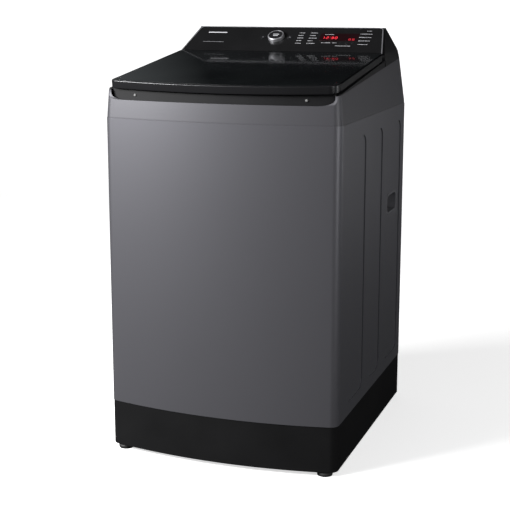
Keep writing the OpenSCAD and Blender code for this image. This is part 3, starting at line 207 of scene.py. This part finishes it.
DRUM_Y = -0.040
DRUM_WALL_R = 0.243
HOLES_LOW, HOLES_HIGH = 0.27, 0.73
HOLES_AROUND = 96
HOLE_ROWS_PER_METRE = 60.0
HOLE_SHARE = 0.13
GREY = (0.150, 0.149, 0.165)
# The top cover wears the cabinet's grey paint; its grey here is that paint darkened, a painted
# shade.
SHADED_COVER_GREY = (0.085, 0.084, 0.094)
MATERIALS = {
    "body_paint": lambda: surface("body_paint", GREY, 0.42, metallic=0.62, vary=0.02,
                                  vary_scale=2.0, rough_vary=0.03, grain_scale=1600, grain=0.00001,
                                  coat=0.08, coat_rough=0.3),
    "cover_paint": lambda: surface("cover_paint", SHADED_COVER_GREY, 0.48, metallic=0.40, vary=0.02,
                                   vary_scale=2.0, rough_vary=0.03, grain_scale=1500,
                                   grain=0.00001, coat=0.08, coat_rough=0.3),
    "zinc_sheet": lambda: surface("zinc_sheet", (0.46, 0.47, 0.49), 0.42, metallic=0.85, vary=0.16,
                                  vary_scale=45.0, rough_vary=0.08, grain_scale=300),
    "base_black": lambda: surface("base_black", (0.009, 0.009, 0.0095), 0.55, vary=0.15,
                                  grain_scale=1400, grain=0.00006, specular=0.12),
    "inner_plastic": lambda: surface("inner_plastic", (0.26, 0.27, 0.28), 0.55, grain_scale=900,
                                     grain=0.00004),
    "deck_black": lambda: surface("deck_black", (0.010, 0.010, 0.011), 0.48, vary=0.2,
                                  rough_vary=0.03, grain_scale=700, grain=0.00001,
                                  specular=0.25),
    "panel_gloss": lambda: surface("panel_gloss", (0.009, 0.009, 0.0095), 0.24, vary=0.15,
                                   rough_vary=0.02, grain_scale=500, grain=0.000004, coat=0.2,
                                   coat_rough=0.12),
    "trim_silver": lambda: surface("trim_silver", (0.33, 0.33, 0.35), 0.40, metallic=0.6,
                                   vary=0.04, grain_scale=1200, grain=0.000004),
    "display_lens": lambda: surface("display_lens", (0.012, 0.004, 0.005), 0.08, vary=0.2,
                                    rough_vary=0.02, grain=0.000002, coat=0.6),
    "board": lambda: surface("board", (0.03, 0.16, 0.08), 0.4, vary=0.25, vary_scale=120,
                             grain_scale=500, grain=0.00005),
    "white_plastic": lambda: surface("white_plastic", (0.72, 0.72, 0.71), 0.45, vary=0.04),
    "bumper_rubber": lambda: surface("bumper_rubber", (0.22, 0.22, 0.22), 0.7, vary=0.1,
                                     grain_scale=500, grain=0.0001),
    "bright_steel": lambda: surface("bright_steel", (0.56, 0.57, 0.59), 0.25, metallic=1.0,
                                    vary=0.06, stretch=(1, 1, 8), grain_scale=260),
    "pocket_plastic": lambda: surface("pocket_plastic", (0.105, 0.105, 0.115), 0.42, vary=0.06,
                                      grain_scale=1100, grain=0.00004),
    "lid_glass": lambda: tinted_glass("lid_glass"),
    "grip_paint": lambda: surface("grip_paint", (0.022, 0.022, 0.024), 0.3, metallic=0.5,
                                  vary=0.06, rough_vary=0.03, grain_scale=1300, grain=0.000008,
                                  coat=0.4, coat_rough=0.12),
    "dial_black": lambda: surface("dial_black", (0.012, 0.012, 0.013), 0.2, vary=0.2,
                                  rough_vary=0.03, grain_scale=900, grain=0.000006),
    "drawer_plastic": lambda: surface("drawer_plastic", (0.42, 0.45, 0.49), 0.3, vary=0.05),
    "tub_plastic": lambda: surface("tub_plastic", (0.66, 0.66, 0.64), 0.5, vary=0.06,
                                   grain_scale=600, grain=0.00005),
    "cast_housing": lambda: surface("cast_housing", (0.5, 0.5, 0.51), 0.5, metallic=0.9, vary=0.12,
                                    vary_scale=70, grain_scale=420, grain=0.00015),
    "copper_winding": lambda: surface("copper_winding", (0.5, 0.22, 0.09), 0.35, metallic=0.8,
                                      vary=0.15, stretch=(1, 1, 30), grain_scale=240,
                                      grain=0.0002),
    "drum_steel": lambda: perforated_steel("drum_steel"),
    "ring_plastic": lambda: surface("ring_plastic", (0.30, 0.31, 0.33), 0.38, vary=0.05),
    "filter_plastic": lambda: surface("filter_plastic", (0.5, 0.53, 0.58), 0.4, vary=0.05),
    "pulsator_plastic": lambda: surface("pulsator_plastic", (0.24, 0.25, 0.28), 0.28, vary=0.05),
    "foot_rubber": lambda: surface("foot_rubber", (0.02, 0.02, 0.02), 0.6, vary=0.2,
                                   grain_scale=500, grain=0.0001),
}
made_materials = {}


def slot_material(slot):
    if slot not in made_materials:
        made_materials[slot] = MATERIALS[slot]()
    return made_materials[slot]


# ---- CAD nodes: rounded edges and smooth shading over the exact meshes ----

# Width of the rounding in millimetres; a node that isn't named gets half a millimetre
EDGE = {
    "cabinet_wrap": 0.8, "base_skirt": 0.4, "top_cover": 1.5, "top_frame": 1.2,
    "console_housing": 5.0, "control_panel": 0.6, "console_trim": 0.4, "lid_grip": 2.0,
    "lid_frame": 1.0, "lid_glass": 0.9, "handle_pockets": 1.2, "program_dial": 0.8,
    "dial_ring": 0.4, "detergent_drawer": 1.0, "drawer_housing": 0.6, "balance_ring": 2.0,
    "tub_cover": 1.0, "pulsator": 1.5, "lint_filter": 1.2, "lid_bumpers": 0.8,
    "rear_panel": 0.6, "drain_pipe": 1.0, "inlet_valves": 1.0, "pump_housing": 1.0,
    "display_window": 0.3,
}
BEVEL_ANGLE = math.radians(22)
FLAT_ANGLE = math.radians(0.12)
NO_EDGE = {"suspension_springs", "basket"}


def finish_node(name, obj):
    obj.data.materials.clear()
    obj.data.materials.append(slot_material(slot_of[name]))
    for poly in obj.data.polygons:
        poly.use_smooth = True
    weld = obj.modifiers.new("weld", "WELD")
    weld.merge_threshold = 0.01 * MM
    if name in NO_EDGE:
        return
    flat = obj.modifiers.new("flat", "DECIMATE")
    flat.decimate_type = "DISSOLVE"
    flat.angle_limit = FLAT_ANGLE
    edge = obj.modifiers.new("edge", "BEVEL")
    edge.width = EDGE.get(name, 0.5) * MM
    edge.segments = 3 if EDGE.get(name, 0.5) >= 1 else 2
    edge.limit_method = "ANGLE"
    edge.angle_limit = BEVEL_ANGLE
    edge.use_clamp_overlap = True
    even = obj.modifiers.new("even", "WEIGHTED_NORMAL")
    even.mode = "FACE_AREA"
    even.weight = 50


for node_name, node_obj in frame["nodes"].items():
    finish_node(node_name, node_obj)


# ---- Mesh helpers ----

def mesh_piece(name, bm, slot, body, smooth=True, material=None):
    mesh = bpy.data.meshes.new(name)
    bmesh.ops.recalc_face_normals(bm, faces=bm.faces)
    bm.to_mesh(mesh)
    bm.free()
    obj = bpy.data.objects.new(name, mesh)
    bpy.context.scene.collection.objects.link(obj)
    mesh.materials.append(material or slot_material(slot))
    for poly in mesh.polygons:
        poly.use_smooth = smooth
    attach(obj, body)
    return obj


# ---- Printed symbols and the display on the control panel ----

PANEL_TILT = math.radians(31.9)
panel_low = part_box("control_panel")[0]
PANEL_T = 4 * MM
panel_origin = Vector((0, panel_low.y, panel_low.z + PANEL_T * math.cos(PANEL_TILT)))
panel_frame = Matrix.Translation(panel_origin) @ Matrix.Rotation(PANEL_TILT, 4, "X")


def rounded_plate(bm, cx, cy, w, h, r, z0, z1, steps=4, place=Matrix.Identity(4)):
    """Adds a rounded rectangular plate to bm, in the panel's own axes."""
    r = min(r, w / 2, h / 2)
    pts = []
    for q, (sx, sy) in enumerate(((1, 1), (-1, 1), (-1, -1), (1, -1))):
        for i in range(steps + 1):
            a = math.pi / 2 * (q + i / steps)
            pts.append((cx + sx * (w / 2 - r) + r * math.cos(a),
                        cy + sy * (h / 2 - r) + r * math.sin(a)))
    low = [bm.verts.new(place @ Vector((x, y, z0))) for x, y in pts]
    high = [bm.verts.new(place @ Vector((x, y, z1))) for x, y in pts]
    n = len(pts)
    bm.faces.new(high)
    bm.faces.new(low[::-1])
    for i in range(n):
        j = (i + 1) % n
        bm.faces.new((low[i], low[j], high[j], high[i]))


PRINT_UP = 0.05 * MM
PRINT_IN = 0.10 * MM


def words(bars):
    """Breaks each bar into short dashes, so that a label looks printed and says nothing."""
    out = []
    for x, u, w, h in bars:
        at, end = x - w / 2, x + w / 2
        while at < end - 1.2:
            long = min(random.uniform(1.6, 3.4), end - at)
            out.append((at + long / 2, u, long, h * random.uniform(0.75, 1.0)))
            at += long + random.choice((0.5, 0.5, 1.3))
    return out


def print_bars(name, bars, tone, strength=0.0, up=PRINT_UP):
    """A set of thin printed bars: (x, u, width, height) in millimetres on the panel. With a
    strength they glow: lamp light on the display, a painted glow on the printed labels.
    """
    bm = bmesh.new()
    for x, u, w, h in bars:
        rounded_plate(bm, x * MM, u * MM, w * MM, h * MM, 0.35 * h * MM, -PRINT_IN, up,
                      place=panel_frame)
    slot = "display_lens" if strength else "panel_gloss"
    return mesh_piece(name, bm, slot, "cabinet", smooth=False,
                      material=glowing(name, tone, strength))


LABEL = (0.42, 0.42, 0.44)
LABEL_DIM = (0.16, 0.16, 0.17)
RED = (1.0, 0.04, 0.06)
DARK_RED = (0.5, 0.02, 0.03)


LABEL_H = 2.6
LABEL_ROWS = [89, 76.5, 64, 51.5, 39]


def label_column(x, widths):
    """A column of labels with their left ends in line."""
    return [(x + (w - max(widths)) / 2, u, w, LABEL_H) for u, w in zip(LABEL_ROWS, widths)]


labels = label_column(44, [17, 15, 18, 15, 19])
labels += label_column(79, [21, 16, 22, 15, 23])
labels += [(225, u, w, LABEL_H) for u, w in zip((86.5, 70.5, 54, 37), (33, 34, 32, 27))]
labels += [(231, 101, 14, 2.2), (122, 82.5, 25, 2.2), (121, 43, 26, 2.6), (145, 43, 13, 2.2),
           (172, 29, 44, 2.2)]
# The labels are light grey print with a painted glow on top of it.
print_bars("panel_labels", words(labels), LABEL, 0.22)
print_bars("panel_mark", [(-207, 87, 56, 4.2)], LABEL, 0.45)
print_bars("panel_mark_small", words([(-206, 41, 60, 2.6)]), LABEL_DIM, 0.35)


# Seven-bar digits of the time display
SEGMENTS = {"0": "abcdef", "1": "bc", "2": "abged", "3": "abgcd", "8": "abcdefg"}


def digit_bars(char, x, u, w, h, t):
    """The lit bars of one digit around (x, u): w wide, h high, with strokes of t."""
    places = {
        "a": (0, h / 2, w, t), "g": (0, 0, w, t), "d": (0, -h / 2, w, t),
        "f": (-w / 2, h / 4, t, h / 2), "b": (w / 2, h / 4, t, h / 2),
        "e": (-w / 2, -h / 4, t, h / 2), "c": (w / 2, -h / 4, t, h / 2),
    }
    return [(x + places[s][0], u + places[s][1], places[s][2], places[s][3])
            for s in SEGMENTS[char]]


DIGIT_U, DIGIT_W, DIGIT_H, STROKE = 67, 5.4, 9.4, 1.3
DIGIT_UP = 0.03 * MM
digits = []
for char, x in (("1", 108), ("2", 120), ("3", 134), ("0", 144.5)):
    digits += digit_bars(char, x, DIGIT_U, DIGIT_W, DIGIT_H, STROKE)
digits += [(127.6, DIGIT_U + rise, STROKE, STROKE) for rise in (2.6, -2.6)]
print_bars("display_digits", digits, RED, 0.42, up=DIGIT_UP)
faint = digit_bars("8", 184, 60, 5, 8, 1.2) + digit_bars("8", 194, 60, 5, 8, 1.2)
print_bars("display_faint_digits", faint, DARK_RED, 0.22, up=DIGIT_UP)

# Marks on the dial's face and on the two round keys
DIAL_X, DIAL_U, DIAL_UP = -27, 66, 8.0 * MM
KEY_UP = 0.8 * MM


def marks(name, bars, tone, strength, body, up):
    """Printed bars on a moving control whose face stands up above the panel, given a painted glow.
    """
    bm = bmesh.new()
    for x, u, w, h in bars:
        rounded_plate(bm, x * MM, u * MM, w * MM, h * MM, 0.35 * h * MM, up - PRINT_IN,
                      up + PRINT_UP, place=panel_frame)
    return mesh_piece(name, bm, "dial_black", body, smooth=False,
                      material=glowing(name, tone, strength))


marks("dial_marks", [(DIAL_X, DIAL_U + 3.4, 17, 2.6), (DIAL_X, DIAL_U - 3.4, 14, 2.4)],
      LABEL, 0.5, "dial", DIAL_UP)
marks("power_mark", [(-66, DIAL_U, 1.4, 5.5)], LABEL_DIM, 0.4, "power", KEY_UP)
marks("start_mark", [(10.8, DIAL_U, 1.3, 4.6), (13.8, DIAL_U, 1.3, 4.6)],
      LABEL_DIM, 0.4, "start", KEY_UP)

# ---- Camera, light, floor ----

CAMERA_AT = (1.046, -2.932, 1.168)
CAMERA_YAW = math.radians(19.96)
CAMERA_DOWN = math.radians(11.34)
camera_data = bpy.data.cameras.new("camera")
camera_data.lens = 83.4
camera_data.sensor_width = 36
camera_data.shift_y = -0.05
camera = bpy.data.objects.new("camera", camera_data)
camera.location = CAMERA_AT
camera.rotation_euler = (math.pi / 2 - CAMERA_DOWN, 0, CAMERA_YAW)
bpy.context.scene.collection.objects.link(camera)
bpy.context.scene.camera = camera

bpy.context.scene.view_settings.view_transform = "Standard"
bpy.context.scene.view_settings.look = "None"

world = bpy.data.worlds.new("studio")
bpy.context.scene.world = world
world.use_nodes = True
world.node_tree.nodes["Background"].inputs["Color"].default_value = (1, 1, 1, 1)
world.node_tree.nodes["Background"].inputs["Strength"].default_value = 0.15
world.cycles_visibility.glossy = False


def area_light(name, place, target, size, power):
    data = bpy.data.lights.new(name, "AREA")
    data.shape = "RECTANGLE"
    data.size, data.size_y = size
    data.energy = power
    light = bpy.data.objects.new(name, data)
    light.location = place
    direction = Vector(target) - Vector(place)
    light.rotation_euler = direction.to_track_quat("-Z", "Y").to_euler()
    bpy.context.scene.collection.objects.link(light)


area_light("key", (-2.5, -2.3, 2.15), (-0.3, -0.35, 1.1), (1.8, 1.3), 275)
area_light("fill", (3.4, -1.4, 1.5), (0.2, 0, 0.5), (1.8, 2.4), 46)
area_light("graze", (2.1, 2.4, 0.6), (0.3, 0.0, 0.4), (0.6, 1.0), 3.5)
area_light("front", (-0.8, -4.4, 3.0), (0, -0.3, 0.6), (3.0, 1.2), 5)
area_light("rim", (-1.4, -1.7, 3.2), (-0.2, -0.2, 1.0), (1.4, 1.0), 20)


def studio_floor():
    """A pale floor that bends up into a backdrop behind the machine."""
    bm = bmesh.new()
    half, back, bend, high, steps = 9.0, 3.0, 1.5, 7.0, 10
    profile = [(-half, 0.0), (back, 0.0)]
    profile += [(back + bend * math.sin(a), bend - bend * math.cos(a))
                for a in [math.pi / 2 * i / steps for i in range(1, steps + 1)]]
    profile += [(back + bend, high)]
    rows_ = [[bm.verts.new((x, y, z)) for y, z in profile] for x in (-half, half)]
    for i in range(len(profile) - 1):
        bm.faces.new((rows_[0][i], rows_[1][i], rows_[1][i + 1], rows_[0][i + 1]))
    mesh = bpy.data.meshes.new("floor")
    bm.to_mesh(mesh)
    bm.free()
    floor = bpy.data.objects.new("floor", mesh)
    bpy.context.scene.collection.objects.link(floor)
    mat, tree, shader = new_material("floor")
    shader.inputs["Base Color"].default_value = (0.9, 0.9, 0.9, 1)
    shader.inputs["Roughness"].default_value = 0.8
    shader.inputs["Emission Color"].default_value = (1, 1, 1, 1)
    shader.inputs["Emission Strength"].default_value = 0.62
    mesh.materials.append(mat)
    for poly in mesh.polygons:
        poly.use_smooth = True
    floor.visible_glossy = False
    floor.visible_diffuse = False


def soft_card(name, place, target, width, height, strength):
    """A reflector that only mirrors show, fading to black towards its edges."""
    bm = bmesh.new()
    w, h = width / 2, height / 2
    bm.faces.new([bm.verts.new((x, y, 0)) for x, y in ((-w, -h), (w, -h), (w, h), (-w, h))])
    mesh = bpy.data.meshes.new(name)
    bm.to_mesh(mesh)
    bm.free()
    card = bpy.data.objects.new(name, mesh)
    bpy.context.scene.collection.objects.link(card)
    card.location = place
    direction = Vector(target) - Vector(place)
    card.rotation_euler = direction.to_track_quat("-Z", "Y").to_euler()
    mat, tree, shader = new_material(name)
    coords = add(tree, "ShaderNodeTexCoord")
    mapping = add(tree, "ShaderNodeMapping", Scale=(2 / width, 2 / height, 1))
    tree.links.new(coords.outputs["Object"], mapping.inputs["Vector"])
    ball = add(tree, "ShaderNodeTexGradient", gradient_type="SPHERICAL")
    tree.links.new(mapping.outputs["Vector"], ball.inputs["Vector"])
    glow = maths(tree, "MULTIPLY", ball.outputs["Fac"], strength)
    shader.inputs["Base Color"].default_value = (0, 0, 0, 1)
    shader.inputs["Specular IOR Level"].default_value = 0.0
    shader.inputs["Emission Color"].default_value = (0.90, 0.97, 1.0, 1)
    tree.links.new(glow, shader.inputs["Emission Strength"])
    mesh.materials.append(mat)
    card.visible_camera = False
    card.visible_diffuse = False
    card.visible_shadow = False


studio_floor()
soft_card("card_left", (-2.1, 2.05, 2.1), (-0.25, -0.3, 0.97), 2.1, 2.3, 0.30)
soft_card("card_right", (3.0, 1.2, 1.0), (0.3, 0.0, 0.4), 2.4, 2.4, 0.9)
